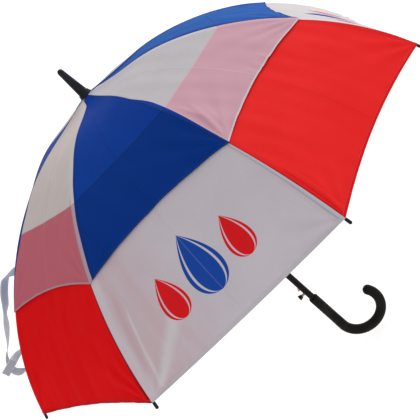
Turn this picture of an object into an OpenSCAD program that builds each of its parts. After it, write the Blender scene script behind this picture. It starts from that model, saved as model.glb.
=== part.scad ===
// Automatic vented golf umbrella, open: two canopies of eight panels on eight folding ribs,
// a runner that slides on a tube shaft, a spring release and a crook handle.
// Z runs up the shaft and the crook bends towards +X. The origin is the middle of the straight grip.

/* [Canopy] */
// Distance of a cloth corner from the shaft's axis, at a rib
canopy_r = 580; // [540:5:620]
// Height of the crown above the plane of the cloth corners
canopy_rise = 358; // [330:2:385]
// Distance of the upper canopy's hem from the axis, at a rib
vent_hem_r = 447; // [430:1:470]
// Distance of the lower canopy's inner edge from the axis, at a rib
lap_r = 316; // [306:1:330]
// Thickness of the cloth solids
cloth_t = 0.5; // [0.4:0.1:0.8]
// Distance between the middles of the two canopies
layer_gap = 2; // [1.5:0.1:3]
// Half the gap between two panels at a rib
seam_gap = 0.4; // [0.3:0.05:0.6]
// How far the rim's hem is drawn in between two ribs
rim_scallop = 7; // [3:1:12]
// How far the vent's hem is drawn in between two ribs
vent_scallop = 18; // [8:1:24]
// Clearance of the crown hole in the cloth round the shaft
crown_hole_gap = 2; // [1:0.5:4]

/* [Tie strap] */
// Width of the strap
strap_w = 18; // [14:1:22]
// Thickness of the strap
strap_t = 1; // [0.8:0.1:1.4]

/* [Ribs] */
// Diameter of a rib's rod
rib_d = 4; // [3:0.2:4.4]
// Depth of a rod's middle below the middle of the lower cloth
rib_drop = 3.6; // [3.2:0.1:5]
// Depth of the rib hinges below the crown
crown_drop = 8; // [7:0.5:10]
// Distance of the rib hinges from the axis
hinge_r = 12; // [11.5:0.1:13]
// Thickness of the flat eye at a rib's inner end
eye_t = 3; // [2.4:0.1:3.2]
// Radius of that eye
eye_r = 2.8; // [2.4:0.1:3]
// Length of the eye's flat
eye_len = 24; // [20:1:30]
// Length of the tip caps
tip_len = 10; // [8:1:16]
// Diameter of the tip caps
tip_d = 6; // [5:0.2:7]
// Distance of the cloth corners from the axis when the umbrella is closed
closed_tip_r = 36; // [30:1:50]

/* [Stretchers] */
// Length between a stretcher's pivots
stretcher_len = 345; // [335:1:360]
// Distance of a rib's bracket inwards of the lower canopy's inner edge
bracket_inset = 16; // [14:1:30]
// Length of the bracket's clip on the rod
clip_len = 18; // [14:1:22]
// Wall of that clip round the rod
clip_wall = 1.4; // [1:0.1:1.8]
// Depth of the bracket's pivot below the rod's middle
pivot_drop = 9; // [8:0.5:12]
// Thickness of the bracket's tab
tab_t = 2.4; // [2:0.1:3]
// Radius of the rivet through tab and stretcher
rivet_r = 1.25; // [1:0.05:1.5]
// Height of a stretcher's channel
channel_h = 5; // [4.6:0.1:6]
// Wall of that channel
channel_wall = 1.2; // [0.8:0.1:1.4]

/* [Runner] */
// Distance of the stretcher pivots on the runner from the axis
ring_r = 13; // [12.6:0.1:14]
// Outer radius of the runner's slotted ring
ring_out_r = 17; // [16.5:0.5:19]
// Height of that ring
ring_h = 11; // [9:1:14]
// Wall of the runner's sleeve
sleeve_wall = 1.8; // [1.5:0.1:2]
// Depth of the latch window's sill below the stretcher pivots
sill_drop = 69; // [62:1:80]
// Height of the sill that the latch holds
sill_h = 8; // [6:0.5:9]
// Radius of the finger ring at the runner's lower end
finger_ring_r = 14; // [13:0.5:14.4]
// Height of that finger ring
finger_ring_h = 12; // [8:1:16]

/* [Opening spring] */
// Turns of the opening spring
spring_turns = 40; // [30:1:48]
// Radius of its wire
spring_wire_r = 0.6; // [0.5:0.05:0.8]
// Radius of the coil at the wire's middle
spring_r = 10.8; // [10.5:0.1:11.2]

/* [Shaft] */
// Outer diameter of the tube
shaft_d = 16; // [15:0.5:16.5]
// Wall of the tube
shaft_wall = 0.8; // [0.6:0.1:1]
// Length of the shaft inside the handle
shaft_in_handle = 60; // [40:5:68]
// Length of the shaft inside the ferrule
shaft_in_ferrule = 26; // [16:2:30]

/* [Crown] */
// Radius of the top notch
notch_r = 17; // [16:0.5:19]
// Depth of the notch below the rib hinges
notch_below = 9; // [8:0.5:12]
// Radius of the wire that the ribs turn on
hinge_wire_r = 0.9; // [0.7:0.05:1.1]
// Radius of the crown cap
cap_r = 15; // [13:0.5:18]
// Height of the crown cap
cap_h = 9; // [7:0.5:11]
// Radius of the ferrule at its foot
ferrule_foot_r = 11.3; // [10.5:0.1:12]
// Radius of the ferrule's rounded end
ferrule_tip_r = 6.8; // [6:0.2:7.4]
// Length of the ferrule
ferrule_len = 69; // [60:1:75]

/* [Handle] */
// Diameter of the straight grip
grip_d = 24; // [22:0.5:25]
// Length of the straight grip, half of it on each side of the origin
grip_len = 78; // [70:2:86]
// Length of the rounded shoulder above the grip
shoulder_len = 3; // [2:0.5:5]
// Length of the taper below the grip
taper_len = 33; // [28:1:40]
// Diameter of the crook
crook_d = 25; // [24:0.5:27]
// Radius of the crook's middle line
crook_r = 55.5; // [50:0.5:60]
// How far the crook turns
crook_turn = 206; // [190:2:214]

/* [Release] */
// Height of the button above the handle
button_above = 22; // [20:1:28]
// Radius of the button's stem
stem_r = 3; // [2.4:0.1:3.4]
// Radius of the button at its outer face
button_r = 7; // [6:0.1:7.6]
// Length of the button
button_len = 9; // [7:0.5:11]
// Distance of the button's outer face from the axis
button_out = 23.5; // [22.5:0.5:26]
// Height of the latch's flat underside above the button
latch_above = 15; // [14:1:20]
// Height of the latch's nose
latch_h = 12; // [9:1:14]
// Width of the latch's nose
latch_w = 3; // [2.4:0.1:3.6]
// Distance of the latch's edge from the axis
latch_out = 13; // [12:0.2:13.6]

/* [Clearances] */
// Radial clearance of the runner and the stem in their guides
slide_gap = 0.06; // [0.03:0.01:0.1]
// Radial clearance of the hinge pins
pin_gap = 0.06; // [0.03:0.01:0.1]
// Radial clearance of glued joints
glue_gap = 0.03; // [0.02:0.01:0.05]
// Clearance at the sides of the eyes, tabs and windows
side_gap = 0.3; // [0.2:0.05:0.4]
// Clearance between cloth and what holds it
cloth_gap = 0.3; // [0.2:0.05:0.5]

/* [Hidden] */
$fn = 64;
panels = 8;
half = 180 / panels;
shaft_r = shaft_d / 2;
shaft_in_r = shaft_r - shaft_wall;
black = "#19191b";
steel = "#b8babd";

// Positions in a rib's plane, as [distance from the axis, height above the rim plane].
// A panel bends round a level drum whose top is the crown and which meets the rim half-way between ribs.
rim_x = canopy_r * cos(half);
drum_r = (rim_x ^ 2 + canopy_rise ^ 2) / (2 * canopy_rise);
drum_h = canopy_rise - drum_r;
function unit(v) = v / norm(v);
function cloth_at(r) = [r, drum_h + sqrt(drum_r ^ 2 - (r * cos(half)) ^ 2)];
function cloth_normal(r) = unit([r * cos(half) ^ 2, cloth_at(r).y - drum_h]);
function under_cloth(r) = cloth_at(r) - rib_drop * cloth_normal(r);
function turned(v, deg) = [v.x * cos(deg) - v.y * sin(deg), v.x * sin(deg) + v.y * cos(deg)];

// The rod is one arc through the hinge, the middle and the corner of the cloth.
hinge = [hinge_r, canopy_rise - crown_drop];
rod_mid = under_cloth(0.62 * canopy_r);
rod_end = under_cloth(canopy_r);
function crossing(a, b, c) =
    let (p = b - a, q = c - a, d = 2 * (p.x * q.y - p.y * q.x))
    a + [q.y * (p * p) - p.y * (q * q), p.x * (q * q) - q.x * (p * p)] / d;
arc_c = crossing(hinge, rod_mid, rod_end);
arc_r = norm(hinge - arc_c);
function arc_angle(p) = atan2(p.y - arc_c.y, p.x - arc_c.x);
function on_arc(r) = [r, arc_c.y + sqrt(arc_r ^ 2 - (r - arc_c.x) ^ 2)];
rod_start = eye_len - 10;
wire_bow = hinge_r - sqrt(hinge_r ^ 2 - (eye_t / 2) ^ 2);
eye_angle = arc_angle(on_arc(hinge_r + rod_start));
corner_angle = arc_angle(rod_end);
cap_angle = tip_len / arc_r * 180 / PI;

// The fold: how far a rib turns, and where the runner's ring stands open and closed.
reach = rod_end - hinge;
fold = acos((closed_tip_r - hinge_r) / norm(reach)) - atan2(-reach.y, reach.x);
bracket_r = lap_r - bracket_inset;
bracket = on_arc(bracket_r);
bracket_angle = arc_angle(bracket);
pivot = bracket - pivot_drop * unit(bracket - arc_c);
pivot_closed = hinge + turned(pivot - hinge, -fold);
function ring_height(p) = p.y - sqrt(stretcher_len ^ 2 - (p.x - ring_r) ^ 2);
ring_open = [ring_r, ring_height(pivot)];
ring_closed = ring_height(pivot_closed);
stretcher_angle = atan2(pivot.y - ring_open.y, pivot.x - ring_r);

// Heights above the origin, built up from the handle.
handle_top = grip_len / 2 + shoulder_len;
button_z = handle_top + button_above;
latch_z = button_z + latch_above;
rim_z = latch_z - side_gap + sill_drop - ring_closed;
crown_z = rim_z + canopy_rise;
runner_z = rim_z + ring_open.y;
upper_r = drum_r + layer_gap;
cap_z = crown_z + layer_gap + cloth_t / 2 + cloth_gap;
ferrule_z = cap_z + cap_h;
shaft_bottom = handle_top - shaft_in_handle;
shaft_top = ferrule_z + shaft_in_ferrule;
runner_top = runner_z + ring_h / 2;
notch_bottom = rim_z + hinge.y - notch_below;
bore_r = shaft_r + slide_gap;
sleeve_r = bore_r + sleeve_wall;
latch_travel = latch_out - shaft_r + side_gap;
strip_x = shaft_in_r - side_gap - 2.4;
strip_t = 0.8;

function rib_azimuth(k) = 2 * half * k - 3 * half;
function panel_azimuth(k) = 2 * half * (k - 1);

// A flat outline in the rib's plane, given thickness across it
module upright(t) {
    rotate([90, 0, 0]) linear_extrude(t, center = true) children();
}

// One arc of a round rod in the rib's plane, between two angles of the rib's circle
module rod_arc(from, to, d) {
    translate([arc_c.x, 0, arc_c.y]) rotate([90, 0, 0]) rotate([0, 0, from])
        rotate_extrude(angle = to - from) translate([arc_r, 0]) circle(d = d);
}

// A ring of round wire about the axis
module wire_ring(r, wire_r) {
    rotate_extrude() translate([r, 0]) circle(r = wire_r);
}

module shaft() {
    color(black) difference() {
        translate([0, 0, shaft_bottom]) cylinder(r = shaft_r, h = shaft_top - shaft_bottom);
        translate([0, 0, shaft_bottom - 1]) cylinder(r = shaft_in_r, h = shaft_top - shaft_bottom + 2);
        translate([0, 0, button_z]) rotate([0, -90, 0]) cylinder(r = stem_r + slide_gap, h = shaft_d);
        translate([-shaft_d, -latch_w / 2 - side_gap, latch_z - side_gap])
            cube([shaft_d, latch_w + 2 * side_gap, latch_h + 2 * side_gap]);
        translate([0, 0, runner_top + stop_lift]) rotate([90, 0, 0])
            cylinder(r = stop_r + glue_gap, h = 2 * shaft_d, center = true);
    }
}

// The pin through the shaft that stops the runner when the umbrella is open
stop_r = 1.5;
stop_lift = stop_r + slide_gap;
module stop_pin() {
    color(steel) translate([0, 0, runner_top + stop_lift]) rotate([90, 0, 0])
        cylinder(r = stop_r, h = shaft_d + 1.6 * sleeve_wall, center = true);
}

module handle() {
    taper_z = -grip_len / 2 - taper_len;
    crook_tip = [crook_r * (1 - cos(crook_turn)), taper_z - crook_r * sin(crook_turn)];
    color(black) difference() {
        union() {
            translate([0, 0, -grip_len / 2]) cylinder(d = grip_d, h = grip_len);
            translate([0, 0, grip_len / 2])
                cylinder(r1 = grip_d / 2, r2 = grip_d / 2 - shoulder_len / 2, h = shoulder_len);
            translate([0, 0, taper_z]) cylinder(d1 = crook_d, d2 = grip_d, h = taper_len);
            translate([crook_r, 0, taper_z]) rotate([90, 0, 0]) rotate([0, 0, 180])
                rotate_extrude(angle = crook_turn) translate([crook_r, 0]) circle(d = crook_d);
            translate([crook_tip.x, 0, crook_tip.y]) sphere(d = 1.02 * crook_d);
        }
        translate([0, 0, shaft_bottom]) cylinder(r = shaft_r + glue_gap, h = shaft_in_handle + 1);
    }
}

module ferrule() {
    cone_len = ferrule_len - ferrule_tip_r;
    color(black) translate([0, 0, ferrule_z]) difference() {
        union() {
            cylinder(r1 = ferrule_foot_r, r2 = ferrule_tip_r, h = cone_len);
            translate([0, 0, cone_len]) sphere(r = ferrule_tip_r);
        }
        translate([0, 0, -1]) cylinder(r = shaft_r + glue_gap, h = shaft_in_ferrule + 1);
    }
}

// The collar that clamps the cloth's crown, with a flange at its foot
module crown_cap() {
    bore = shaft_r + glue_gap;
    color(black) translate([0, 0, cap_z]) rotate_extrude()
        polygon([[bore, 0], [cap_r, 0], [cap_r, 0.3 * cap_h], [cap_r - 1, 0.4 * cap_h],
            [cap_r - 1.5, cap_h - 1], [cap_r - 2.5, cap_h], [bore, cap_h]]);
}

module top_notch() {
    slot_w = eye_t + 2 * side_gap;
    slot_in = hinge_r - eye_r - side_gap;
    slot_top = eye_r + side_gap;
    color(black) translate([0, 0, rim_z + hinge.y]) difference() {
        translate([0, 0, -notch_below]) cylinder(r = notch_r, h = notch_below + slot_top + 2);
        cylinder(r = shaft_r + glue_gap, h = 10 * notch_r, center = true);
        for (k = [1:panels]) rotate([0, 0, rib_azimuth(k)])
            translate([slot_in, -slot_w / 2, -notch_below - 1])
                cube([notch_r, slot_w, notch_below + 1 + slot_top]);
        wire_ring(hinge_r, hinge_wire_r + glue_gap);
    }
}

module notch_wire() {
    color(steel) translate([0, 0, rim_z + hinge.y]) wire_ring(hinge_r, hinge_wire_r);
}

module rib(k) {
    flat_dir = on_arc(hinge_r + eye_len) - hinge;
    color(black) rotate([0, 0, rib_azimuth(k)]) translate([0, 0, rim_z]) difference() {
        union() {
            rod_arc(corner_angle, eye_angle, rib_d);
            upright(eye_t) {
                translate(hinge) circle(r = eye_r);
                translate(hinge) rotate(atan2(flat_dir.y, flat_dir.x))
                    translate([0, -0.8 * eye_r]) square([eye_len, 1.6 * eye_r]);
            }
            translate([bracket.x, 0, bracket.y]) rotate([0, -bracket_angle, 0])
                cylinder(d = rib_d + 2 * clip_wall, h = clip_len, center = true);
            upright(tab_t) translate(bracket) rotate(bracket_angle) {
                translate([-pivot_drop, 0]) circle(r = 2.5 * rivet_r);
                translate([-pivot_drop, -2.5 * rivet_r]) square([pivot_drop, 5 * rivet_r]);
            }
        }
        translate([hinge.x, 0, hinge.y]) rotate([90, 0, 0])
            cylinder(r = hinge_wire_r + wire_bow + pin_gap, h = 2 * eye_t, center = true);
        translate([pivot.x, 0, pivot.y]) rotate([90, 0, 0])
            cylinder(r = rivet_r + pin_gap, h = 2 * tab_t, center = true);
    }
}

// The cap on a rib's outer end, clear of the cloth's corner
module tip_cap(k) {
    color(black) rotate([0, 0, rib_azimuth(k)]) translate([0, 0, rim_z]) {
        start = corner_angle - cloth_gap / arc_r * 180 / PI;
        end = arc_c + arc_r * [cos(start - cap_angle), sin(start - cap_angle)];
        rod_arc(start - cap_angle, start, tip_d);
        translate([end.x, 0, end.y]) sphere(d = 1.05 * tip_d);
    }
}

// A channel with a flat eye in the runner's ring and two cheeks round the rib's tab
module stretcher(k) {
    inner_w = tab_t + 2 * side_gap;
    channel_w = inner_w + 2 * channel_wall;
    channel_from = 12;
    fork_len = 14;
    color(black) rotate([0, 0, rib_azimuth(k)]) translate([ring_r, 0, runner_z])
        rotate([0, -stretcher_angle, 0]) {
        difference() {
            union() {
                translate([channel_from, -channel_w / 2, -channel_h / 2])
                    cube([stretcher_len - channel_from, channel_w, channel_h]);
                translate([stretcher_len, 0, 0]) rotate([90, 0, 0])
                    cylinder(d = channel_h, h = channel_w, center = true);
            }
            translate([0, -inner_w / 2, channel_wall - channel_h / 2])
                cube([2 * stretcher_len, inner_w, channel_h]);
            translate([stretcher_len - fork_len, -inner_w / 2, -channel_h])
                cube([stretcher_len, inner_w, 2 * channel_h]);
        }
        translate([stretcher_len, 0, 0]) rotate([90, 0, 0])
            cylinder(r = rivet_r, h = channel_w, center = true);
        upright(eye_t) {
            circle(r = eye_r);
            translate([0, -0.8 * eye_r]) square([2 * channel_from, 1.6 * eye_r]);
        }
    }
}

module runner() {
    slot_w = eye_t + 2 * side_gap;
    slot_in = ring_r - eye_r - side_gap;
    bottom = -sill_drop - sill_h;
    window_h = latch_h + 3 * side_gap;
    color(black) translate([0, 0, runner_z]) difference() {
        rotate_extrude() polygon([
            [bore_r, bottom], [finger_ring_r - 2, bottom], [finger_ring_r, bottom + 2],
            [finger_ring_r, bottom + finger_ring_h - 4], [sleeve_r, bottom + finger_ring_h],
            [sleeve_r, -ring_h / 2], [ring_out_r, -ring_h / 2],
            [ring_out_r, ring_h / 2], [bore_r, ring_h / 2]]);
        for (k = [1:panels]) rotate([0, 0, rib_azimuth(k)])
            translate([slot_in, -slot_w / 2, -ring_h]) cube([ring_out_r, slot_w, 2 * ring_h]);
        translate([-2 * ring_out_r, -latch_w / 2 - side_gap, -sill_drop])
            cube([2 * ring_out_r, latch_w + 2 * side_gap, window_h]);
    }
}

// The coil between runner and notch. Its points lie on a helix, eight rings to a turn.
spring_low = runner_top + spring_wire_r + cloth_gap;
spring_high = notch_bottom - spring_wire_r - cloth_gap;
spring_rise = (spring_high - spring_low) / spring_turns;
spring_rings = 8;
function helix(i) =
    let (a = 360 * i / spring_rings)
    [spring_r * cos(a), spring_r * sin(a), spring_low + spring_rise * i / spring_rings];
spring_gap = min([for (i = [0:spring_rings]) for (j = [-2:2])
    norm(helix(i) - helix(i + spring_rings + j))]) - 2 * spring_wire_r;
module opening_spring() {
    sides = 6;
    rings = spring_turns * spring_rings;
    slope = atan2(spring_rise, 2 * PI * spring_r);
    function ring_point(i, s) =
        let (a = 360 * i / spring_rings, b = 360 * s / sides)
        let (out = [cos(a), sin(a), 0], up = [sin(a) * sin(slope), -cos(a) * sin(slope), cos(slope)])
        helix(i) + spring_wire_r * (cos(b) * out + sin(b) * up);
    points = [for (i = [0:rings]) for (s = [0:sides - 1]) ring_point(i, s)];
    walls = [for (i = [0:rings - 1]) for (s = [0:sides - 1])
        let (a = i * sides + s, b = i * sides + (s + 1) % sides)
        each [[a, a + sides, b], [b, a + sides, b + sides]]];
    ends = [for (s = [1:sides - 2]) each [[0, s, s + 1],
        [rings * sides, rings * sides + s + 1, rings * sides + s]]];
    color(steel) polyhedron(points, concat(walls, ends));
}

// The spring strip inside the shaft, with the nose that holds the runner and the button's stem
module release_latch() {
    stem_end = button_out - button_len / 2;
    color(steel) {
        translate([-strip_x, -latch_w / 2, button_z - 2 * stem_r])
            cube([strip_t, latch_w, latch_z + latch_h - button_z + 2 * stem_r]);
        upright(latch_w) polygon([
            [-strip_x + strip_t / 2, latch_z], [-latch_out, latch_z], [-latch_out, latch_z + 1.5],
            [-shaft_r, latch_z + latch_h - 1], [-strip_x + strip_t / 2, latch_z + latch_h]]);
        translate([-strip_x + strip_t / 2, 0, button_z]) rotate([0, -90, 0])
            cylinder(r = stem_r, h = stem_end - strip_x + strip_t / 2);
    }
}

module release_button() {
    color(black) translate([-button_out + button_len, 0, button_z]) rotate([0, -90, 0]) difference() {
        cylinder(r1 = 0.65 * button_r, r2 = button_r, h = button_len);
        translate([0, 0, -1]) cylinder(r = stem_r + glue_gap, h = button_len / 2 + 1);
    }
}

// A panel's cloth: a stretch of the drum, cut to its plan between two ribs and drawn in along its hem
module cloth(r, from_x, to_x, scallop) {
    function edge(x) = x * tan(half) - seam_gap / cos(half);
    sag = scallop * sqrt(1 - (to_x / r) ^ 2);
    sweep_r = (edge(to_x) ^ 2 + sag ^ 2) / (2 * sag);
    $fn = 720;
    translate([0, 0, rim_z]) difference() {
        intersection() {
            translate([0, 0, drum_h]) upright(2 * canopy_r) difference() {
                circle(r = r + cloth_t / 2);
                circle(r = r - cloth_t / 2);
            }
            translate([0, 0, drum_h]) linear_extrude(2 * r) polygon([
                [from_x, -edge(from_x)], [to_x, -edge(to_x)], [to_x, edge(to_x)], [from_x, edge(from_x)]]);
        }
        translate([to_x - sag + sweep_r, 0, -canopy_rise]) cylinder(r = sweep_r, h = 4 * canopy_rise);
        translate([0, 0, -canopy_rise]) cylinder(r = shaft_r + crown_hole_gap, h = 4 * canopy_rise);
    }
}

// Panels take turns: white below a blue vent, then red below a white vent
module lower_panel(k) {
    color(k % 2 == 1 ? "#e8e6ea" : "#d81e24") rotate([0, 0, panel_azimuth(k)])
        cloth(drum_r, lap_r * cos(half), rim_x, rim_scallop);
}

module upper_panel(k) {
    color(k % 2 == 1 ? "#1f4a94" : "#e8e6ea") rotate([0, 0, panel_azimuth(k)])
        cloth(upper_r, 2 * seam_gap / sin(half), vent_hem_r * cos(half), vent_scallop);
}

// The strap hangs from a vent hem, twists, and comes back in a loop. Each knot of its route has three places
// along a panel (distance beyond the hem's ends, sideways, height off the lower cloth) and its width's direction.
strap_panel = 5;
strap_from = vent_hem_r * cos(half);
strap_knots = [
    [-10.5, -15, 0, 0, -1, 0], [-11.5, -15, 9, -0.05, -0.98, 0.05], [-10.6, -11.5, 19.5, -0.18, -0.7, 0.69],
    [-5.4, 0, 32, 0.16, -0.4, 0.91], [2.8, 12.3, 40, 0.63, -0.16, 0.77], [15.7, 27.3, 41.8, 0.71, -0.17, 0.69],
    [28, 38.1, 41.4, 0.71, -0.4, 0.57], [39.2, 47.1, 45, 0.59, -0.76, 0.24], [53.8, 58.1, 46.5, 0.68, -0.57, 0.44],
    [72.4, 72.7, 50.5, 0.49, -0.87, 0.07], [82.8, 79.7, 58.5, 0.23, -0.94, -0.26], [91.4, 84.8, 62.2, -0.05, -0.92, -0.4],
    [99.6, 88, 59.9, -0.46, -0.87, -0.19], [104.4, 89.3, 48.5, -0.5, -0.8, 0.35], [104.2, 91.2, 30, 0.02, -1, -0.05],
    [97.1, 92.7, 11.5, 0.17, -0.93, -0.33], [86, 94.5, 7.4, 0.34, -0.87, -0.34], [79.4, 98.7, 18.7, 0.49, -0.63, -0.59],
    [82.8, 106.2, 35.4, 0.15, -0.17, -0.96], [89, 112, 50, -0.2, 0.09, -0.97], [96.1, 118, 68.4, -0.12, 0.21, -0.97]];
module tie_strap() {
    per_span = 5;
    last = len(strap_knots) - 1;
    function knot(i) = strap_knots[max(0, min(last, i))];
    function span(t) = min(floor(t), last - 1);
    function place(i) = let (k = knot(i)) [k[0], k[1], k[2]];
    function width(i) = let (k = knot(i)) [k[3], k[4], k[5]];
    function route(t) =
        let (i = span(t), f = t - i)
        let (a = place(i - 1), b = place(i), c = place(i + 1), d = place(i + 2))
        b + f / 2 * ((c - a) + f * ((2 * a - 5 * b + 4 * c - d) + f * (3 * (b - c) + d - a)));
    function off_cloth(q) =
        let (a = asin((strap_from + q.x) / drum_r), lift = drum_r + cloth_t / 2 + cloth_gap + strap_t / 2 + q.z)
        [lift * sin(a), q.y, rim_z + drum_h + lift * cos(a)];
    function square_to(t) =
        let (u = min(max(t, 0.02), last - 0.02), i = span(t), f = t - i)
        let (along = unit(off_cloth(route(u + 0.02)) - off_cloth(route(u - 0.02))))
        let (side = unit(cross(along, width(i) * (1 - f) + width(i + 1) * f))) [side, cross(along, side)];
    n = last * per_span;
    points = [for (i = [0:n]) let (p = off_cloth(route(i / per_span)), w = square_to(i / per_span))
        for (c = [[-1, -1], [1, -1], [1, 1], [-1, 1]])
            p + c.x * strap_t / 2 * w[0] + c.y * strap_w / 2 * w[1]];
    walls = [for (i = [0:n - 1]) for (s = [0:3]) let (a = 4 * i + s, b = 4 * i + (s + 1) % 4)
        each s == 3 ? [[a, b, b + 4], [a, b + 4, a + 4]] : [[a, b, a + 4], [b, b + 4, a + 4]]];
    ends = [[0, 2, 1], [0, 3, 2], [4 * n, 4 * n + 1, 4 * n + 2], [4 * n, 4 * n + 2, 4 * n + 3]];
    color("#e4e4e6") rotate([0, 0, panel_azimuth(strap_panel)]) polyhedron(points, concat(walls, ends));
}

echo(rim_z = rim_z, hinge = hinge, fold = fold, pivot = pivot, pivot_closed = pivot_closed);
echo(ring_open = ring_open, ring_closed = ring_closed, travel = ring_open.y - ring_closed);
echo(latch_travel = latch_travel, spring_gap = spring_gap, crown_z = crown_z, drum_r = drum_r);
echo(arc_c = arc_c, arc_r = arc_r, handle_top = handle_top, ferrule_top = ferrule_z + ferrule_len);

shaft();
handle();
ferrule();
crown_cap();
top_notch();
notch_wire();
stop_pin();
runner();
opening_spring();
release_latch();
release_button();
tie_strap();
for (k = [1:panels]) {
    rib(k);
    tip_cap(k);
    stretcher(k);
    lower_panel(k);
    upper_panel(k);
}
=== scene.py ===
"""An open, vented golf umbrella with a crook handle, put together as its maker does. Metres, Z up."""
import bpy
import numpy as np
from mathutils import Matrix


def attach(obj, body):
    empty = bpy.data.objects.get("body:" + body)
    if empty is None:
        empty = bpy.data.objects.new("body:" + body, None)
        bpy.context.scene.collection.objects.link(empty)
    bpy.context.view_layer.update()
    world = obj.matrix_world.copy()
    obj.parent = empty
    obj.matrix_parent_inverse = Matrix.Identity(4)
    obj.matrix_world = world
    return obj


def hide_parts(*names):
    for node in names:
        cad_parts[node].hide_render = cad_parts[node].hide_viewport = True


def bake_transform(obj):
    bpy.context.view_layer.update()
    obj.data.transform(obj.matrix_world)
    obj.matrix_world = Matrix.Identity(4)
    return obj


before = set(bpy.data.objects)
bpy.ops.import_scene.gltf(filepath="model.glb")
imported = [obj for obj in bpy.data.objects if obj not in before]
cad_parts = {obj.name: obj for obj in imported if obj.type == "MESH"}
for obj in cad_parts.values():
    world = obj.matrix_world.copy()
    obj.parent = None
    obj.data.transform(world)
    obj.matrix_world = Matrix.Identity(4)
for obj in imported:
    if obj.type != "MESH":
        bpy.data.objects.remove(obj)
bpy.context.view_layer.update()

# The shaft is a drawn steel tube under gloss black paint. The release works inside it,
# and the runner has polished faint rings and streaks into the paint.


class Wire:
    """A node socket in arithmetic: each sign between two wires, or a wire and a number, adds a Math node."""

    def __init__(self, tree, socket=None):
        self.tree = tree
        self.socket = socket

    def add(self, kind, settings, sockets, out=0):
        """Adds a node: its settings first, then a number, colour or wire on each named or numbered socket."""
        made = self.tree.nodes.new("ShaderNode" + kind)
        for name, value in settings.items():
            setattr(made, name, value)
        for name, value in sockets.items():
            if isinstance(value, Wire):
                self.tree.links.new(value.socket, made.inputs[name])
            else:
                made.inputs[name].default_value = value
        return Wire(self.tree, made.outputs[out])

    def maths(self, operation, *values):
        """A Math node of that operation on this wire and the values after it."""
        return self.add("Math", {"operation": operation}, dict(enumerate((self, *values))))

    def __add__(self, other):
        return self.maths("ADD", other)

    __radd__ = __add__

    def __sub__(self, other):
        return self.maths("SUBTRACT", other)

    def __rsub__(self, other):
        return self.maths("MULTIPLY", -1.0).maths("ADD", other)

    def __mul__(self, other):
        return self.maths("MULTIPLY", other)

    __rmul__ = __mul__

    def rise(self, low, high):
        """A smooth step from 0 at low to 1 at high; it falls where low is the larger."""
        ends = {"Value": self, "From Min": low, "From Max": high}
        return self.add("MapRange", {"interpolation_type": "SMOOTHSTEP"}, ends)

    def clamped(self):
        """This wire, kept from 0 to 1."""
        return self.maths("MAXIMUM", 0.0).maths("MINIMUM", 1.0)

    def band(self, middle, reach):
        """1 on a line at middle and over 0.6 of the reach beside it, falling to 0 at the reach."""
        return self.maths("SUBTRACT", middle).maths("ABSOLUTE").rise(reach, 0.6 * reach)

    def between(self, first, second):
        """The colour that lies this far from the first to the second."""
        return self.add("Mix", {"data_type": "RGBA"}, {0: self, 6: first, 7: second}, 2)


def shade(red, green, blue):
    """A colour from its 0 to 255 screen values to the linear ones that the shader takes: a straight line for
    the darkest values, and above them a power of 2.4."""
    share = np.array([red, green, blue]) / 255.0
    linear = np.where(share <= 0.04045, share / 12.92, ((share + 0.055) / 1.055) ** 2.4)
    return (*linear.tolist(), 1.0)


class Finish:
    """A material with one Principled shader: constants on its sockets, wires where a value varies."""

    def __init__(self, name, **constants):
        self.material = bpy.data.materials.new(name)
        self.material.use_nodes = True
        self.tree = self.material.node_tree
        self.shader = self.tree.nodes["Principled BSDF"]
        self.wire = Wire(self.tree)
        for socket, value in constants.items():
            self.shader.inputs[socket.replace("_", " ")].default_value = value

    def feed(self, **wires):
        """Links a wire to each named socket of the shader."""
        for socket, wire in wires.items():
            self.tree.links.new(wire.socket, self.shader.inputs[socket.replace("_", " ")])

    def place(self, scale):
        """Object coordinates stretched by scale, so that a pattern is finer along the larger ones."""
        spot = self.wire.add("TexCoord", {}, {}, "Object")
        return self.wire.add("Mapping", {}, {"Vector": spot, "Scale": scale})

    def noise(self, scale, detail=2.0, stretch=(1.0, 1.0, 1.0)):
        """Cloudy noise with scale lumps to the metre."""
        sockets = {"Vector": self.place(stretch), "Scale": scale, "Detail": detail}
        return self.wire.add("TexNoise", {}, sockets)

    def bump(self, height, strength, depth):
        """Tilts the normal by the slope of a height, which counts depth metres for each 1."""
        sockets = {"Height": height, "Strength": strength, "Distance": depth}
        self.feed(Normal=self.wire.add("Bump", {}, sockets))

    def coat(self, *names):
        """Puts this finish on CAD nodes."""
        for name in names:
            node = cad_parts[name]
            node.data.materials.clear()
            node.data.materials.append(self.material)


gloss_black = Finish("gloss_black_paint", Coat_Weight=0.05, Coat_Roughness=0.1, Specular_IOR_Level=0.08)
wear = gloss_black.noise(60.0, 3.0, (6.0, 6.0, 0.25))
peel = gloss_black.noise(420.0)
gloss_black.feed(
    Base_Color=wear.rise(0.35, 0.8).between(shade(10, 9, 8), shade(20, 18, 16)),
    Roughness=0.2 + 0.16 * wear.rise(0.4, 0.75))
gloss_black.bump(peel, 0.12, 0.0004)
gloss_black.coat("shaft")

# The handle is moulded round the tube and coated with soft black rubber paint. Its fine grain
# scatters the light, and the crook is a little smoother where hands and rails rub it.
grip_black = Finish("grip_rubber", Specular_IOR_Level=0.07)
grain = grip_black.noise(2600.0)
rubbed = grip_black.noise(22.0, 3.0)
grip_black.feed(
    Base_Color=rubbed.rise(0.3, 0.75).between(shade(21, 21, 20), shade(33, 33, 31)),
    Roughness=0.56 - 0.16 * rubbed.rise(0.35, 0.75) + 0.08 * grain)
grip_black.bump(grain, 0.22, 0.0005)
grip_black.coat("handle")

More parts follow.
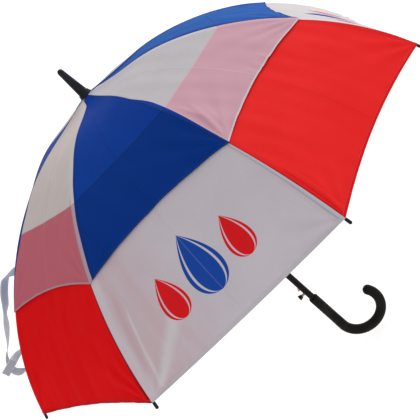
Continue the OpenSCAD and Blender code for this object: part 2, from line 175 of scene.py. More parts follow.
# The release is a tempered spring strip with a nose and a stem, and a moulded black button on the stem. The
# wire ring, the stop pin and the opening spring are nickel-plated.
steel = Finish("bright_steel", Metallic=1.0)
drawn = steel.noise(240.0, 3.0, (1.0, 1.0, 7.0))
steel.feed(
    Base_Color=drawn.rise(0.3, 0.75).between(shade(176, 178, 182), shade(214, 215, 218)),
    Roughness=0.2 + 0.2 * drawn)
steel.bump(drawn, 0.08, 0.0003)
steel.coat("stop_pin", "notch_wire", "opening_spring")

# The release's tan steel colour is a painted reflection of warm surroundings.
latch_steel = Finish("tempered_spring_steel", Metallic=1.0)
rolled = latch_steel.noise(300.0, 3.0, (1.0, 1.0, 5.0))
latch_steel.feed(
    Base_Color=rolled.rise(0.3, 0.75).between(shade(158, 138, 126), shade(190, 170, 158)),
    Roughness=0.34 + 0.2 * rolled)
latch_steel.bump(rolled, 0.08, 0.0003)
latch_steel.coat("release_latch")

# The button, the runner, the notch and the caps on the eight rib tips are moulded in hard black plastic.
# It has a fine matt grain and is a little smoother where it is handled.
all_eight = range(1, 9)
plastic_black = Finish("moulded_black", Specular_IOR_Level=0.22)
mould = plastic_black.noise(1500.0, 3.0)
handled = plastic_black.noise(45.0)
plastic_black.feed(
    Base_Color=handled.rise(0.3, 0.8).between(shade(12, 12, 13), shade(22, 22, 24)),
    Roughness=0.36 + 0.16 * handled + 0.06 * mould)
plastic_black.bump(mould, 0.14, 0.0004)
plastic_black.coat("release_button", "runner", "top_notch")
plastic_black.coat(*[f"tip_cap_{k}" for k in all_eight])

# The ferrule and the collar under it are turned from a harder black stuff, with fine rings from the tool.
# They are pressed on the top of the shaft and hold the cloth down round it.
ferrule_black = Finish("turned_black", Specular_IOR_Level=0.12)
ring = ferrule_black.noise(900.0, 2.0, (0.1, 0.1, 1.0))
scuff = ferrule_black.noise(70.0, 3.0)
ferrule_black.feed(
    Base_Color=scuff.rise(0.3, 0.75).between(shade(25, 28, 31), shade(38, 42, 47)),
    Roughness=0.38 + 0.14 * scuff + 0.06 * ring)
ferrule_black.bump(ring, 0.1, 0.0003)
ferrule_black.coat("ferrule", "crown_cap")

# Eight ribs are pulled glass-fibre rods with pressed clips, and eight stretchers are channels
# of the same black stuff. Fibre and resin leave a cloudy face with fine specks.
rib_black = Finish("rib_fibre", Specular_IOR_Level=0.3)
fibre = rib_black.noise(900.0, 3.0, (0.12, 0.12, 0.12))
speck = rib_black.noise(3200.0)
rib_black.feed(
    Base_Color=fibre.rise(0.35, 0.75).between(shade(16, 16, 17), shade(34, 34, 36)),
    Roughness=0.4 + 0.2 * fibre)
rib_black.bump(fibre + 0.4 * speck, 0.18, 0.0004)
rib_black.coat(*[f"rib_{k}" for k in all_eight], *[f"stretcher_{k}" for k in all_eight])

# The lower canopy is eight gores of woven cloth, white and red in turn, sewn to each other along
# the ribs and drawn tight. The rim is turned under and stitched, and the cloth pulls in fans to the tips.
gore_angle = 45.0
half_gore = np.radians(22.5)
drum_r = 0.580027
crown_z = 0.764049
lap_r = 0.316
rim_r = 0.580
rim_hem = 0.007
rim_draw = 0.008
rim_fold = 0.15


def down_cloth(radius):
    """How far from the crown a radius over the ribs lies, along the middle of a gore: the drum's radius times
    the angle whose sine is the middle's reach over the drum's radius."""
    return drum_r * np.arcsin(radius * np.cos(half_gore) / drum_r)


lap_s = down_cloth(lap_r)
rim_s = down_cloth(rim_r)


def rib_bearing(k):
    """The direction of rib k from the shaft, half a gore before the middle of gore k."""
    return np.radians(gore_angle * (k - 1.5))


def soft_step(value, low, high):
    """Smooth step from 0 at low to 1 at high."""
    share = np.clip((value - low) / (high - low), 0.0, 1.0)
    return share * share * (3.0 - 2.0 * share)


def gore_width(s):
    """Half the width of a gore s metres from the crown: the drum's reach times the tangent of half a gore."""
    return drum_r * np.sin(s / drum_r) * np.tan(half_gore)


def bell(value, middle, reach):
    """A bell over a distance: 1 at middle, and e to the minus square of the distance over reach."""
    return np.exp(-(((value - middle) / reach) ** 2))


def crease_lift(s, y, crease):
    """A ridge along a straight line of the cut: its height times a bell over the distance from the line, and
    a sine along it that leaves its ends low."""
    s0, y0, s1, y1, height, reach = crease
    blunt = 0.06
    along = np.array([s1 - s0, y1 - y0])
    share = np.clip(((s - s0) * along[0] + (y - y0) * along[1]) / (along @ along), 0.0, 1.0)
    away = np.hypot(s - s0 - share * along[0], y - y0 - share * along[1])
    return height * bell(away, 0.0, reach) * np.sin(np.pi * (blunt + (1.0 - 2.0 * blunt) * share))


# Heights of the cloth off the drum, and the places down the gore or off its edges between which they grow.
sag_depth, sag_span = 0.0045, (0.06, 0.42)
dip_depth, dip_bow, dip_middle, dip_reach, dip_span = 0.0048, 0.0032, 0.085, 0.06, (0.014, 0.05)
collar_rise, collar_span = 0.0003, (0.024, 0.0135)
billow_middle, billow_reach = 0.33, 0.12
wave_count, wave_height, wave_span = 7, 0.00034, (0.05, 0.16)
fan_height, fan_folds, fan_reach, fan_span = 0.0011, 11.0, 0.13, (0.004, 0.045)
seam_span = (0.0, 0.012)


def cloth_lift(s, y, seam, hem, seed, creases, billow):
    """How far stretched cloth stands off the drum. It rises to the collar, dips round it, sags between the
    ribs and billows a little half-way. On that lie long soft waves (sines across the gore), fans of folds
    from the corners (sines of the angle about a corner, fading with distance) and single creases, which
    end at the seams."""
    chance = np.random.default_rng(seed)
    across = np.clip(y / np.maximum(gore_width(s), 1e-6), -1.0, 1.0)
    bow = 1.0 - across ** 2
    sag = -sag_depth * bow * soft_step(s, *sag_span)
    sag -= (dip_depth + dip_bow * bow) * bell(s, dip_middle, dip_reach) * soft_step(s, *dip_span)
    sag += collar_rise * soft_step(s, *collar_span)
    sag += billow * bow * bell(s, billow_middle, billow_reach)
    waves = np.zeros_like(s)
    for wave in range(wave_count):
        length = chance.uniform(0.035, 0.12)
        lean = chance.uniform(-0.5, 0.5)
        phase = chance.uniform(0.0, 2.0 * np.pi, 2)
        swell = 0.5 + 0.5 * np.sin(s / chance.uniform(0.05, 0.11) + phase[1])
        slant = y * np.cos(lean) + s * np.sin(lean)
        waves += wave_height * swell * np.sin(2.0 * np.pi * slant / length + phase[0])
    waves *= soft_step(s, *wave_span)
    reach = np.hypot(hem, seam)
    angle = np.arctan2(seam, np.maximum(hem, 0.0))
    fans = fan_height * np.sin(angle * fan_folds + chance.uniform(0.0, 6.0)) * bell(reach, 0.0, fan_reach)
    fans *= soft_step(reach, *fan_span)
    single = sum((crease_lift(s, y, crease) for crease in creases), np.zeros_like(s))
    return sag + (waves + fans + single) * soft_step(seam, *seam_span)


def gore_points(s, y, lift, azimuth):
    """Bends a flat cut round the drum: s down from the crown, y sideways, lifted along the drum's radius,
    with y widened as the lift widens the drum, so that neighbours meet over their rib."""
    turn = s / drum_r
    y = y * (1.0 + lift / drum_r)
    out = (drum_r + lift) * np.sin(turn)
    up = crown_z - drum_r + (drum_r + lift) * np.cos(turn)
    return np.stack([
        out * np.cos(azimuth) - y * np.sin(azimuth),
        out * np.sin(azimuth) + y * np.cos(azimuth), up], -1)


def sheet_mesh(name, points, cut, fields, normals, tube=False):
    """A mesh over a grid of points, rows by columns, with the flat cut as UV map and a field per vertex.
    A tube joins its last column to its first one and has a face on each end."""
    rows, columns = points.shape[:2]
    index = np.arange(rows * columns).reshape(rows, columns)
    ends = [index[0, ::-1].tolist(), index[-1].tolist()] if tube else []
    index = np.hstack([index, index[:, :1]]) if tube else index
    corners = (index[:-1, :-1], index[1:, :-1], index[1:, 1:], index[:-1, 1:])
    faces = np.stack(corners, -1).reshape(-1, 4).tolist() + ends
    mesh = bpy.data.meshes.new(name)
    mesh.from_pydata(points.reshape(-1, 3), [], faces)
    layer = mesh.uv_layers.new(name="cut")
    layer.data.foreach_set("uv", cut.reshape(-1, 2)[np.concatenate(faces)].astype(np.float32).ravel())
    for field, values in fields.items():
        layer = mesh.attributes.new(field, "FLOAT", "POINT")
        layer.data.foreach_set("value", values.astype(np.float32).ravel())
    mesh.shade_smooth()
    mesh.normals_split_custom_set_from_vertices(normals.reshape(-1, 3).tolist())
    piece = bpy.data.objects.new(name, mesh)
    bpy.context.scene.collection.objects.link(piece)
    return piece


def surface_normals(points):
    """Unit normals of a grid: the cross product of its steps down the rows and along the columns."""
    normals = np.cross(np.gradient(points, axis=0), np.gradient(points, axis=1))
    return normals / np.maximum(np.linalg.norm(normals, axis=-1, keepdims=True), 1e-12)


# Rows and half the columns of a gore, with the powers that crowd them at the hem and at the ribs.
gore_rows, hem_crowding = 84, 1.5
gore_columns, rib_crowding = 36, 1.25
# The hem's thickness, the dip along a seam, the cloth near the hem that puffs, and the hem's turn inwards.
hem_rise = 0.0005
seam_dip, seam_reach = 0.0006, 0.004
puff_reach = 0.09
turn_under = np.array([0.0005, 0.0009, 0.0010, 0.0010])[:, None]


def sew_gore(
        layer, k, finish, cut_from, cut_to, draw_in, hem_w, fold_reach,
        creases=(), rise=0.0, billow=0.0, puff=0.0):
    """Cuts gore k of a canopy from rib k to rib k + 1, turns its hem under, and makes its two halves, one on
    each side of the middle. The hem is drawn in between the ribs by a parabola, and the free cloth near it may
    puff up by one."""
    azimuth = np.radians(gore_angle * (k - 1))
    across = np.linspace(-1.0, 1.0, 2 * gore_columns + 1)[None, :]
    across = np.sign(across) * (1.0 - (1.0 - np.abs(across)) ** rib_crowding)
    down = (1.0 - (1.0 - np.linspace(0.0, 1.0, gore_rows + 1)) ** hem_crowding)[:, None]
    hem_s = cut_to - draw_in * (1.0 - across ** 2)
    s = cut_from + (hem_s - cut_from) * down
    s = np.vstack([s, hem_s - np.array([0.0002, 0.0008, 0.5 * hem_w, hem_w])[:, None]])
    y = across * gore_width(s)
    hem = hem_s - s
    seam = gore_width(s) - np.abs(y)
    lift = rise + cloth_lift(s, y, seam, hem, 10 * k + 5, creases, billow)
    lift += puff * (1.0 - across ** 2) * soft_step(hem, puff_reach, 0.0)
    lift += hem_rise * soft_step(hem, hem_w + 0.002, hem_w - 0.001)
    lift -= seam_dip * soft_step(seam, seam_reach, 0.0)
    lift[gore_rows + 1:] -= turn_under
    points = gore_points(s, y, lift, azimuth)
    normals = surface_normals(points)
    cut = np.stack([y, s], -1)
    length = cut_to - cut_from
    width = float(gore_width(cut_to))
    area = (float(gore_width(cut_from)) + width) / 2 * length
    left = slice(0, gore_columns + 1)
    right = slice(gore_columns, 2 * gore_columns + 1)
    halves = (
        (-1, "a", left, k, f"lower_cloth_{k}"),
        (1, "b", right, k % 8 + 1, f"upper_cloth_{k}"))
    for side, letter, part, rib, body in halves:
        fields = {"hem": hem[:, part], "seam": seam[:, part]}
        name = f"{layer}_canopy_{k}_{letter}"
        piece = sheet_mesh(name, points[:, part], cut[:, part], fields, normals[:, part])
        piece.data.materials.append(finish.material)
        bearing = rib_bearing(rib)
        inward = -side * fold_reach * np.array([-np.sin(bearing), np.cos(bearing), 0.0])
        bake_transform(piece)
        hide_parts(f"{layer}_panel_{k}")


def cut_place(finish):
    """The flat cut that cloth has as its UV map: the place, its sideways part and its part down."""
    place = finish.wire.add("UVMap", {"uv_map": "cut"}, {})
    sideways = finish.wire.add("SeparateXYZ", {}, {0: place}, 0)
    down = finish.wire.add("SeparateXYZ", {}, {0: place}, 1)
    return place, sideways, down


def cut_noise(finish, place, across, along, lean=0.0):
    """Cloudy noise on the flat cut, with so many lumps to the metre across and along it, turned by lean."""
    sockets = {"Vector": place, "Scale": (across, along, 1.0), "Rotation": (0.0, 0.0, lean)}
    return finish.wire.add("TexNoise", {}, {"Vector": finish.wire.add("Mapping", {}, sockets), "Scale": 1.0})


def field(finish, name):
    """A number that the mesh keeps at each of its vertices."""
    return finish.wire.add("Attribute", {"attribute_name": name}, {}, "Fac")


def drop_print(sideways, down, middle, tip, length, reach):
    """A printed rain drop: its half width goes as t times the root of 1 - t, t down from its tip, and is the
    reach at its widest. A bare line runs inside its edge."""
    ink_edge = (0.0003, 0.0011)
    t = ((down - tip) * (1.0 / length)).clamped()
    width = (1.0 - t).maths("SQRT") * t * (2.6 * reach)
    away = (sideways - middle).maths("ABSOLUTE")
    whole = (width - away).rise(*ink_edge)
    return whole - (width * 0.8 - away).rise(*ink_edge) + (width * 0.68 - away).rise(*ink_edge)


def fold_streak(sideways, down, start, end, widths):
    """A soft streak between two points of the cut: how far a spot is along it gives the width there, and the
    distance from its line over that width fades it. Both ends fade too."""
    run = np.array(end) - np.array(start)
    length = np.hypot(*run)
    s = down - start[0]
    y = sideways - start[1]
    along = s * float(run[0] / length ** 2) + y * float(run[1] / length ** 2)
    away = (s * float(run[1] / length) - y * float(run[0] / length)).maths("ABSOLUTE")
    width = along.clamped() * (widths[1] - widths[0]) + widths[0]
    return away.maths("DIVIDE", width).rise(1.0, 0.0) * along.rise(-0.1, 0.15) * along.rise(1.1, 0.9)


# The weave's pitch and a stitch's length, as turns of a sine over a metre; where the second canopy's edge
# blurs; and the place down a gore from which its seam bands widen.
weave_turns = 2.0 * np.pi / 0.0005
stitch_turns = 2.0 * np.pi / 0.0036
lap_blur = 0.0006
widen_s = 0.44


def cloth_finish(
        name, colours, thread, edge, hem_w, seams, streaks=(), under=None, lapped=None, drops=(), bounce_light=None,
        gloss=0.03, press=0.25, turned=0.85):
    """Woven cloth on its flat cut: a plain weave, slubs along both threads, a pressed line down the middle and
    a stitched hem. Along the seams lie bands of painted shade and light on the left (-1), the right (1) or
    both sides (0): full to an inner width, gone at an outer one, and so many times wider at the rim. Streaks
    are painted light and shade on the lit and dark sides of folds. Under is painted light: the colour where
    the second canopy shows through from below. With it goes lapped, the neighbour's cloth that comes over the
    left rib to its seam: its two tones, the lower one with the painted show-through, its widest and its last
    reach, and the places down the gore between which it widens and narrows. Edge is the tone of painted shade
    and light on the turned hem, on the pressed line and on the line of the second canopy's edge. Drops are
    rain drops printed on the gore, each with its colour, and blush is painted light: the pink that a red
    neighbour throws on the left side."""
    cloth = Finish(name, Specular_IOR_Level=gloss)
    place, sideways, down = cut_place(cloth)
    hem = field(cloth, "hem")
    seam = field(cloth, "seam")
    weave = (sideways * weave_turns).maths("SINE") * (down * weave_turns).maths("SINE")
    slub = 0.5 * cut_noise(cloth, place, 900.0, 60.0) + 0.5 * cut_noise(cloth, place, 60.0, 900.0)
    cloud = cloth.wire.add("TexNoise", {}, {"Vector": place, "Scale": 9.0, "Detail": 4.0})
    pucker = cut_noise(cloth, place, 160.0, 30.0)
    pressed = sideways.band(0.0, 0.0014) * down.rise(0.07, 0.16)
    face = (cloud * 0.55 + slub * 0.5).rise(0.3, 0.75).between(colours[1], colours[0])
    # Painted light: the pink that a red neighbour throws on the left side, in soft folds.
    if bounce_light is not None:
        folds = cut_noise(cloth, place, 38.0, 5.0, 0.24).rise(0.2, 0.75)
        face = (sideways.rise(-0.02, -0.13) * (0.2 + 0.5 * folds)).between(face, bounce_light)
    # Painted light and shade on the lit and dark sides of folds.
    for start, end, widths, tone, strength in streaks:
        face = (fold_streak(sideways, down, start, end, widths) * strength).between(face, tone)
    for shape, ink in drops:
        face = drop_print(sideways, down, *shape).between(face, ink)
    # Painted light where the second canopy shows through from below, and a painted line in the edge tone where
    # its edge lies.
    if under is not None:
        below = down.rise(lap_s - lap_blur, lap_s + lap_blur)
        face = below.between(face, under)
        lap = down.band(lap_s + 0.0012, 0.0016)
        face = (lap * 0.4).between(face, edge)
    dash = (sideways * stitch_turns).maths("SINE").rise(-0.5, -0.1)
    stitch = hem.band(hem_w - 0.0012, 0.0007) * dash
    fold = hem.rise(hem_w + 0.0005, hem_w - 0.0003)
    # Painted shade and light on the pressed line, in the edge tone.
    face = (pressed * press).between(face, edge)
    sewn = seam
    if lapped is not None:
        tones, widest, last, widens, narrows = lapped
        reach = down.rise(*widens) * (last + (widest - last) * down.rise(narrows[1], narrows[0]))
        sewn = seam - reach * sideways.rise(0.001, -0.001)
    # Bands of painted shade and light along the seams.
    for side, inner, outer, widening, tone, strength in seams:
        away = sewn
        if widening != 1:
            away = sewn.maths("DIVIDE", down.rise(widen_s, rim_s) * (widening - 1.0) + 1.0)
        band = away.rise(outer, inner) * strength
        if side != 0:
            band = band * (sideways * side).rise(-0.002, 0.002)
            if under is not None:
                band = band * down.rise(lap_s - 0.03, lap_s)
        face = band.between(face, tone)
    # Painted shade and light on the turned hem, in the edge tone.
    face = (fold * turned).between(face, edge)
    face = stitch.between(face, thread)
    # The neighbour's cloth over the seam, in its own tone and, below the lap, with its painted show-through.
    if lapped is not None:
        face = sewn.rise(0.0002, -0.0004).between(face, below.between(*tones))
    cloth.feed(Base_Color=face, Roughness=0.5 + 0.2 * slub + 0.04 * weave)
    gather = pucker * (hem.rise(0.03, 0.004) + seam.rise(0.03, 0.003))
    height = weave * 0.1 + slub * 0.4 + gather * 1.5 + stitch * 0.5 + pressed * 1.2 - hem.band(hem_w, 0.0008)
    if under is not None:
        height = height + lap * 0.8
    cloth.bump(height, 0.5, 0.0005)
    return cloth


sky = shade(28, 70, 158)
scarlet = shade(214, 28, 34)
rain = (
    ((0.0, 0.506, 0.122, 0.036), sky),
    ((-0.077, 0.534, 0.086, 0.026), scarlet),
    ((0.077, 0.534, 0.086, 0.026), scarlet))
# Bands of painted shade and light along the seams of the white gores: pink lines of painted light from the red
# gores beside them, grey-blue painted shade in the seam folds and lighter bands between.
white_seam_shading = (
    (1, 0.0084, 0.0104, 1.7, shade(202, 174, 178), 0.5),
    (1, 0.0068, 0.0084, 1.7, shade(190, 187, 194), 0.8),
    (1, 0.0042, 0.0064, 1.7, shade(146, 152, 170), 0.6),
    (1, 0.0018, 0.0034, 2.0, shade(192, 193, 198), 0.85),
    (-1, 0.0090, 0.0220, 1.2, shade(206, 201, 206), 0.5))
# A pink band of painted light from the red gore beside the right seam.
rosy_seam_light = (1, 0.0060, 0.0100, 1, shade(224, 112, 124), 0.8)
white_low = cloth_finish(
    "white_cloth", (shade(199, 195, 196), shade(190, 186, 188)),
    shade(208, 204, 208), shade(184, 181, 187), rim_hem, (*white_seam_shading, rosy_seam_light),
    drops=rain, press=0.1, turned=0.6)
# The front white gore has its own copy, with painted light and shade fitted to where it stands: a pink blush
# from its red neighbour, and lit and dark streaks along its folds.
white_front = cloth_finish(
    "white_cloth_front", (shade(201, 193, 200), shade(192, 184, 191)),
    shade(206, 202, 207), shade(184, 179, 185), rim_hem, white_seam_shading,
    drops=rain, bounce_light=shade(196, 164, 170), press=0.1, turned=0.6, streaks=(
        ((0.498, -0.151), (0.650, -0.193), (0.010, 0.016), shade(193, 163, 168), 0.55),
        ((0.560, -0.128), (0.665, -0.180), (0.008, 0.010), shade(193, 174, 176), 0.45),
        ((0.600, -0.085), (0.672, -0.190), (0.022, 0.012), shade(207, 204, 206), 0.7),
        ((0.540, -0.149), (0.674, -0.189), (0.003, 0.006), shade(208, 200, 207), 0.7),
        ((0.640, 0.2085), (0.690, 0.2130), (0.003, 0.011), shade(142, 148, 166), 0.65)))
# The red cloth has two copies for how the light falls on it. This one, for gores 4 and 6 on the shade side, is
# deeper and has bands of painted shade along its seams.
red_shade_side = cloth_finish(
    "red_cloth", (shade(225, 8, 13), shade(217, 6, 12)),
    shade(214, 46, 48), shade(190, 6, 14), rim_hem, (
        (1, 0.0010, 0.0032, 4.0, shade(128, 7, 22), 0.8),
        (0, 0.0005, 0.0014, 1.5, shade(96, 6, 34), 0.8)),
    gloss=0.014, press=0.08)
# This one, for gores 2 and 8 on the lit side, is brighter with a painted sheen, and has bands of painted shade
# along its seams and lit and dark streaks along its folds.
red_lit = cloth_finish(
    "red_cloth_lit", (shade(230, 39, 38), shade(222, 34, 34)),
    shade(236, 76, 74), shade(204, 20, 24), rim_hem, (
        (0, 0.007, 0.013, 1, shade(212, 26, 28), 0.5),
        (0, 0.0006, 0.0022, 2.0, shade(150, 8, 20), 0.7)),
    press=0.08, streaks=(
        ((0.560, -0.187), (0.684, -0.217), (0.0025, 0.0035), shade(190, 12, 18), 0.65),
        ((0.580, -0.181), (0.680, -0.206), (0.003, 0.004), shade(236, 48, 46), 0.5)))
# A crease runs from one place of the cut to another, down and sideways, with its height and its reach.
rim_draws = {7: -0.003, 8: 0.015}
low_creases = {
    7: [(0.475, 0.168, 0.685, 0.206, 0.0013, 0.006), (0.486, -0.159, 0.675, -0.215, 0.0013, 0.005),
        (0.472, -0.135, 0.66, -0.192, 0.0011, 0.007), (0.50, -0.115, 0.665, -0.175, 0.0008, 0.008)],
    8: [(0.56, -0.182, 0.682, -0.212, 0.0014, 0.004), (0.55, -0.165, 0.67, -0.198, 0.0008, 0.006)]}
# Gore 7 takes the front copy of the white cloth, and gores 4 and 6 the shade-side copy of the red, each with
# its own painted light and shade.
for k in all_eight:
    if k % 2 == 1:
        cloth, slot = white_front if k == 7 else white_low, "cloth_white"
    else:
        cloth, slot = red_shade_side if k in (4, 6) else red_lit, "cloth_red"
    sew_gore(
        "lower", k, cloth, lap_s, rim_s, rim_draws.get(k, rim_draw), rim_hem, rim_fold,
        low_creases.get(k, ()))

# The upper canopy is eight smaller gores, blue and white in turn, that start at the crown and lie over
# the lower ones as a vent. Its hem is free between the ribs and bowed up towards the crown.
crown_s = 0.0135
vent_r = 0.447
vent_s = down_cloth(vent_r)
vent_hem = 0.0036
vent_draw = 0.018
vent_fold = 0.12
vent_rise = 0.002
vent_puff = 0.0005
# How the neighbour's cloth laps over the left rib: widest and last reach, and where it widens and narrows.
blue_lap = (0.015, 0.0075, (0.014, 0.06), (0.13, 0.36))
white_lap = (0.0095, 0.0024, (0.2, 0.28), (0.29, 0.45))
blue_thread = shade(42, 84, 160)
blue_over = (shade(11, 56, 142), shade(9, 51, 131))
# The blue cloth has two copies for how the light falls on it: this one for gores 5 and 7, and a brighter lit
# one for gores 1 and 3. Both have a band of painted shade along the seams, and their under colour is painted
# light where the lower canopy shows through.
blue_top = cloth_finish(
    "blue_cloth", (shade(12, 60, 149), shade(9, 54, 139)),
    blue_thread, shade(8, 40, 108), vent_hem,
    ((0, 0.003, 0.008, 1, shade(9, 41, 112), 0.38),), under=shade(8, 50, 128),
    lapped=((shade(195, 187, 186), shade(177, 150, 160)), *blue_lap))
blue_lit = cloth_finish(
    "blue_cloth_lit", (shade(6, 83, 162), shade(4, 77, 153)),
    blue_thread, shade(8, 46, 118), vent_hem,
    ((0, 0.014, 0.026, 1, shade(5, 42, 122), 0.85),), under=shade(6, 79, 158),
    lapped=((shade(189, 185, 189), shade(196, 156, 167)), *blue_lap))
# The white vent cloth has two copies for how the light falls on it: this one for gores 2, 4 and 8, with a band
# of painted light along its seams, and one for gore 6 on the shade side, with a deeper pink and painted shade
# along its right seam. The pink under colour of both is painted light of the red canopy showing through.
white_top = cloth_finish(
    "white_vent_cloth", (shade(188, 184, 188), shade(179, 175, 179)),
    shade(206, 198, 200), shade(205, 194, 197), vent_hem,
    ((0, 0.0008, 0.0024, 1, shade(198, 184, 190), 0.5),), under=shade(196, 152, 164),
    lapped=(blue_over, *white_lap))
white_top_shade_side = cloth_finish(
    "white_vent_cloth_shade_side", (shade(203, 191, 188), shade(194, 183, 180)),
    shade(176, 156, 162), shade(166, 138, 146), vent_hem,
    ((1, 0.0014, 0.0036, 1, shade(150, 128, 142), 0.7),), under=shade(188, 98, 111),
    lapped=(blue_over, *white_lap))
top_creases = {
    8: [(0.328, -0.110, 0.405, -0.130, 0.0022, 0.0045), (0.352, -0.100, 0.447, -0.158, 0.0034, 0.006),
        (0.379, -0.098, 0.442, -0.142, 0.0022, 0.0045), (0.412, 0.03, 0.448, 0.022, 0.0022, 0.004),
        (0.418, 0.055, 0.452, 0.046, 0.0022, 0.004), (0.41, 0.01, 0.442, 0.006, 0.0014, 0.004)]}
top_billow = {1: 0.007, 2: 0.008, 8: 0.0012}
# Gore 6 takes the shade-side copy of the white vent cloth, and gores 1 and 3 the lit copy of the blue.
for k in all_eight:
    if k % 2 == 0:
        cloth, slot = white_top_shade_side if k == 6 else white_top, "cloth_white"
    else:
        cloth, slot = blue_lit if k < 4 else blue_top, "cloth_blue"
    sew_gore(
        "upper", k, cloth, crown_s, vent_s, vent_draw, vent_hem, vent_fold,
        top_creases.get(k, ()), vent_rise, top_billow.get(k, 0.0), vent_puff)

# The points of the upper gores are gathered under the collar. Over each rib a small piece of the same cloth
# bends from the collar to the rib, blue and white as the gores that it covers.
crown_cloth = Finish("crown_cloth", Specular_IOR_Level=0.03)
crown_place, crown_turn = cut_place(crown_cloth)[:2]
pleat = crown_cloth.wire.add("TexNoise", {}, {"Vector": crown_place, "Scale": 9.0, "Detail": 3.0})
blue_gore = (crown_turn * 4.0).maths("COSINE").rise(-0.08, 0.08)
crown_cloth.feed(
    Base_Color=blue_gore.between(shade(184, 180, 183), blue_over[0]),
    Roughness=0.55 + 0.15 * pleat)
crown_cloth.bump(pleat, 0.3, 0.0005)
crown_in, crown_edge = 0.0125, 0.0245
crown_top, crown_fall, crown_gather = 0.76650, 0.00115, 0.00006
fall_from, fall_length = 0.0145, 0.01


def crown_piece(k):
    """A sector of a ring, half a gore on each side of rib k. Its height falls on a cosine from the collar's
    foot to the gores, with soft gathers round it (a sine of the bearing)."""
    turn = rib_bearing(k) + np.linspace(-half_gore, half_gore, 17)[None, :]
    out = np.linspace(crown_in, crown_edge, 11)[:, None]
    fall = 0.5 - 0.5 * np.cos(np.pi * np.clip((out - fall_from) / fall_length, 0.0, 1.0))
    up = crown_top - crown_fall * fall + crown_gather * np.sin(24.0 * turn) * fall
    points = np.stack(np.broadcast_arrays(out * np.cos(turn), out * np.sin(turn), up), -1)
    cut = np.stack(np.broadcast_arrays(turn, out), -1)
    piece = sheet_mesh(f"crown_cloth_{k}", points, cut, {}, surface_normals(points))
    piece.data.materials.append(crown_cloth.material)
    along = np.array([np.cos(rib_bearing(k)), np.sin(rib_bearing(k)), 0.0])
    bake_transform(piece)


for k in all_eight:
    crown_piece(k)

# The tie strap is a folded length of the white cloth, sewn under a vent hem. It twists off the canopy's
# far side and comes back in a loop at its end, where a square of hook tape is sewn on. Each knot of its
# route has its place along the gore, in mm, and the direction of its width.
strap_w = 0.018
strap_t = 0.0008
strap_steps = 260
strap_round = 32
strap_rise = 0.001
curl_height, curl_length = 0.0012, 0.021
face_power, edge_power = 0.35, 0.8
strap_route = np.array([
    [-24, -15, 0.2, 0, -1, 0], [-12.5, -15, 0.6, 0, -1, 0],
    [-11.5, -15, 9, -0.05, -0.98, 0.05], [-10.7, -13, 13.1, -0.35, -0.45, 0.82],
    [-4, -0.8, 34.3, 0.56, -0.77, 0.31], [1.2, 12, 39.8, 0.67, -0.26, 0.7],
    [16, 27.4, 41.5, 0.7, -0.15, 0.7], [27.9, 38, 41.4, 0.71, -0.4, 0.57],
    [39.2, 47.1, 45, 0.59, -0.76, 0.24], [53.8, 58.1, 46.5, 0.68, -0.57, 0.44],
    [72.4, 72.7, 50.5, 0.49, -0.87, 0.07], [82.8, 79.7, 58.5, 0.23, -0.94, -0.26],
    [91.4, 84.8, 62.2, -0.05, -0.92, -0.4], [99.6, 88, 59.9, -0.46, -0.87, -0.19],
    [104.4, 89.3, 48.5, -0.5, -0.8, 0.35], [104.2, 91.2, 30, 0.02, -1, -0.05],
    [97.1, 92.7, 11.5, 0.17, -0.93, -0.33], [86, 94.5, 7.4, 0.34, -0.87, -0.34],
    [79.4, 98.7, 18.7, 0.49, -0.63, -0.59], [82.8, 106.2, 35.4, 0.15, -0.17, -0.96],
    [89, 112, 50, -0.2, 0.09, -0.97], [96.1, 118, 68.4, -0.12, 0.21, -0.97]])


def smooth_route(knots, steps):
    """A smooth curve through knots: in each span, the cubic that has at each end the slope of the chord
    between the knots on both sides of it."""
    last = len(knots) - 1
    t = np.linspace(0.0, last, steps)
    i = np.minimum(t.astype(int), last - 1)
    f = (t - i)[:, None]
    a, b = knots[np.maximum(i - 1, 0)], knots[i]
    c, d = knots[i + 1], knots[np.minimum(i + 2, last)]
    return b + f / 2 * ((c - a) + f * ((2 * a - 5 * b + 4 * c - d) + f * (3 * (b - c) + d - a)))


def strap_mesh():
    """Carries a flat rounded section along the route: across it a superellipse, turned square to the path
    and curled a little by a sine along it. The route lies on the first gore, and half a turn takes it to the
    fifth."""
    knots = smooth_route(strap_route, strap_steps)
    route = knots[:, :3] / 1000.0
    across = knots[:, 3:]
    turn = np.arcsin((vent_r * np.cos(half_gore) + route[:, 0]) / drum_r)
    lift = drum_r + strap_rise + route[:, 2]
    path = np.stack([lift * np.sin(turn), route[:, 1], crown_z - drum_r + lift * np.cos(turn)], -1)
    along = np.gradient(path, axis=0)
    along = along / np.linalg.norm(along, axis=1, keepdims=True)
    thick = np.cross(along, across)
    thick = thick / np.linalg.norm(thick, axis=1, keepdims=True)
    wide = np.cross(along, thick)
    angle = np.linspace(0.0, 2.0 * np.pi, strap_round, endpoint=False)
    run = np.concatenate([[0.0], np.cumsum(np.linalg.norm(np.diff(path, axis=0), axis=1))])
    curl = curl_height * np.sin(run / curl_length)[:, None] * np.cos(angle) ** 2
    flat = np.sign(np.sin(angle)) * np.abs(np.sin(angle)) ** face_power * strap_t / 2
    broad = np.sign(np.cos(angle)) * np.abs(np.cos(angle)) ** edge_power * strap_w / 2
    points = path[:, None] + (flat + curl)[..., None] * thick[:, None] + broad[None, :, None] * wide[:, None]
    points = points * np.array([-1.0, -1.0, 1.0])
    cut = np.stack(np.broadcast_arrays(broad[None], run[:, None]), -1)
    edge = np.broadcast_to(strap_w / 2 - np.abs(broad)[None], (strap_steps, strap_round))
    fields = {"hem": edge, "seam": np.broadcast_to(run[-1] - run[:, None], edge.shape)}
    ring = np.hstack([points[:, -1:], points, points[:, :1]])
    normals = surface_normals(ring)[:, 1:-1]
    return sheet_mesh("tie_strap_cloth", points, cut, fields, normals, tube=True), float(run[-1])


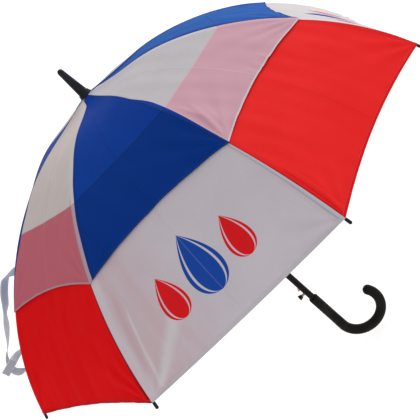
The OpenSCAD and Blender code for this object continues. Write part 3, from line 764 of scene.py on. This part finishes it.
strap_cloth = Finish("strap_cloth", Specular_IOR_Level=0.25, Sheen_Weight=0.1, Sheen_Roughness=0.5)
ply, ply_side, ply_run = cut_place(strap_cloth)
ply_edge = field(strap_cloth, "hem")
ply_end = field(strap_cloth, "seam")
ply_turns = 9000.0
ply_stitch_turns = 1750.0
ply_weave = (ply_side * ply_turns).maths("SINE") * (ply_run * ply_turns).maths("SINE")
ply_cloud = strap_cloth.wire.add("TexNoise", {}, {"Vector": ply, "Scale": 60.0, "Detail": 3.0})
ply_stitch = ply_edge.band(0.0022, 0.0006) * (ply_run * ply_stitch_turns).maths("SINE").rise(-0.4, 0.0)
tape = ply_end.rise(0.036, 0.0355) * ply_edge.rise(0.0016, 0.002)
ply_face = ply_cloud.rise(0.3, 0.7).between(shade(186, 188, 200), shade(206, 206, 214))
# Painted shade on the strap between about 20 and 200 mm along it.
ply_painted_shade = ply_run.rise(0.02, 0.06) * ply_run.rise(0.2, 0.1) * 0.8
ply_face = ply_painted_shade.between(ply_face, shade(144, 151, 178))
ply_face = ply_stitch.between(ply_face, shade(222, 222, 228))
ply_face = (tape * 0.8).between(ply_face, shade(170, 170, 178))
strap_cloth.feed(Base_Color=ply_face, Roughness=0.6 + 0.2 * tape)
strap_cloth.bump(ply_weave * 0.2 + ply_stitch + tape * ply_cloud * 3.0, 0.4, 0.0005)
strap, strap_len = strap_mesh()
strap.data.materials.append(strap_cloth.material)
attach(strap, "lower_cloth_5")
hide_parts("tie_strap")

# The camera stands where the photograph was taken: a little above the rim, on the front, and rolled
# so that the shaft lies along the picture's diagonal. The image is 420 by 420 pixels.
lens = bpy.data.cameras.new("camera")
lens.sensor_width = 36.0
lens.lens = 65.14
camera = bpy.data.objects.new("camera", lens)
bpy.context.scene.collection.objects.link(camera)
right = np.array([0.6971, -0.1236, -0.7063])
ahead = np.array([-0.1653, 0.9308, -0.3260])
ahead = ahead - right * (ahead @ right) / (right @ right)
right = right / np.linalg.norm(right)
ahead = ahead / np.linalg.norm(ahead)
above = np.cross(right, ahead)
stand = np.array([0.2798, -1.6176, 0.9544])
axes = [[right[i], above[i], -ahead[i], stand[i]] for i in range(3)]
camera.matrix_world = Matrix(axes + [[0, 0, 0, 1]])
bpy.context.scene.camera = camera

# The stage is a pale floor just under the handle and a pale wall far behind, both glowing softly, in an even
# white studio. One large lamp stands above and to the right, behind the canopy.
plain_white = (1.0, 1.0, 1.0, 1.0)
pale = Finish(
    "pale_stage", Base_Color=(0.3, 0.3, 0.3, 1.0), Roughness=0.9,
    Emission_Color=plain_white, Emission_Strength=0.85)


def stage_sheet(name, corners):
    """One flat sheet from its four corners."""
    mesh = bpy.data.meshes.new(name)
    mesh.from_pydata(corners, [], [(0, 1, 2, 3)])
    mesh.materials.append(pale.material)
    piece = bpy.data.objects.new(name, mesh)
    bpy.context.scene.collection.objects.link(piece)


ground = -0.146
wide = 9.0
wall_wide = 14.0
foot = ground - 1.0
stage_sheet("floor", [
    (-wide, -wide, ground), (wide, -wide, ground), (wide, wide, ground), (-wide, wide, ground)])
stage_sheet("wall", [
    (-wall_wide, wide, foot), (wall_wide, wide, foot), (wall_wide, wide, wide), (-wall_wide, wide, wide)])

world = bpy.data.worlds.new("studio")
world.use_nodes = True
world.node_tree.nodes["Background"].inputs[0].default_value = plain_white
world.node_tree.nodes["Background"].inputs[1].default_value = 0.72
bpy.context.scene.world = world
bpy.context.scene.view_settings.view_transform = "Standard"


def soft_lamp(name, place, aim, size, power):
    """A square lamp of that size at place, turned to face aim."""
    lamp = bpy.data.lights.new(name, "AREA")
    lamp.size = size
    lamp.energy = power
    piece = bpy.data.objects.new(name, lamp)
    bpy.context.scene.collection.objects.link(piece)
    back = np.array(place, float) - np.array(aim, float)
    back = back / np.linalg.norm(back)
    side = np.cross((0.0, 0.0, 1.0), back)
    side = side / np.linalg.norm(side)
    top = np.cross(back, side)
    axes = [[side[i], top[i], back[i], place[i]] for i in range(3)]
    piece.matrix_world = Matrix(axes + [[0, 0, 0, 1]])


soft_lamp("key", (2.35, 1.1, 2.4), (0.0, 0.0, 0.5), 1.2, 48.0)
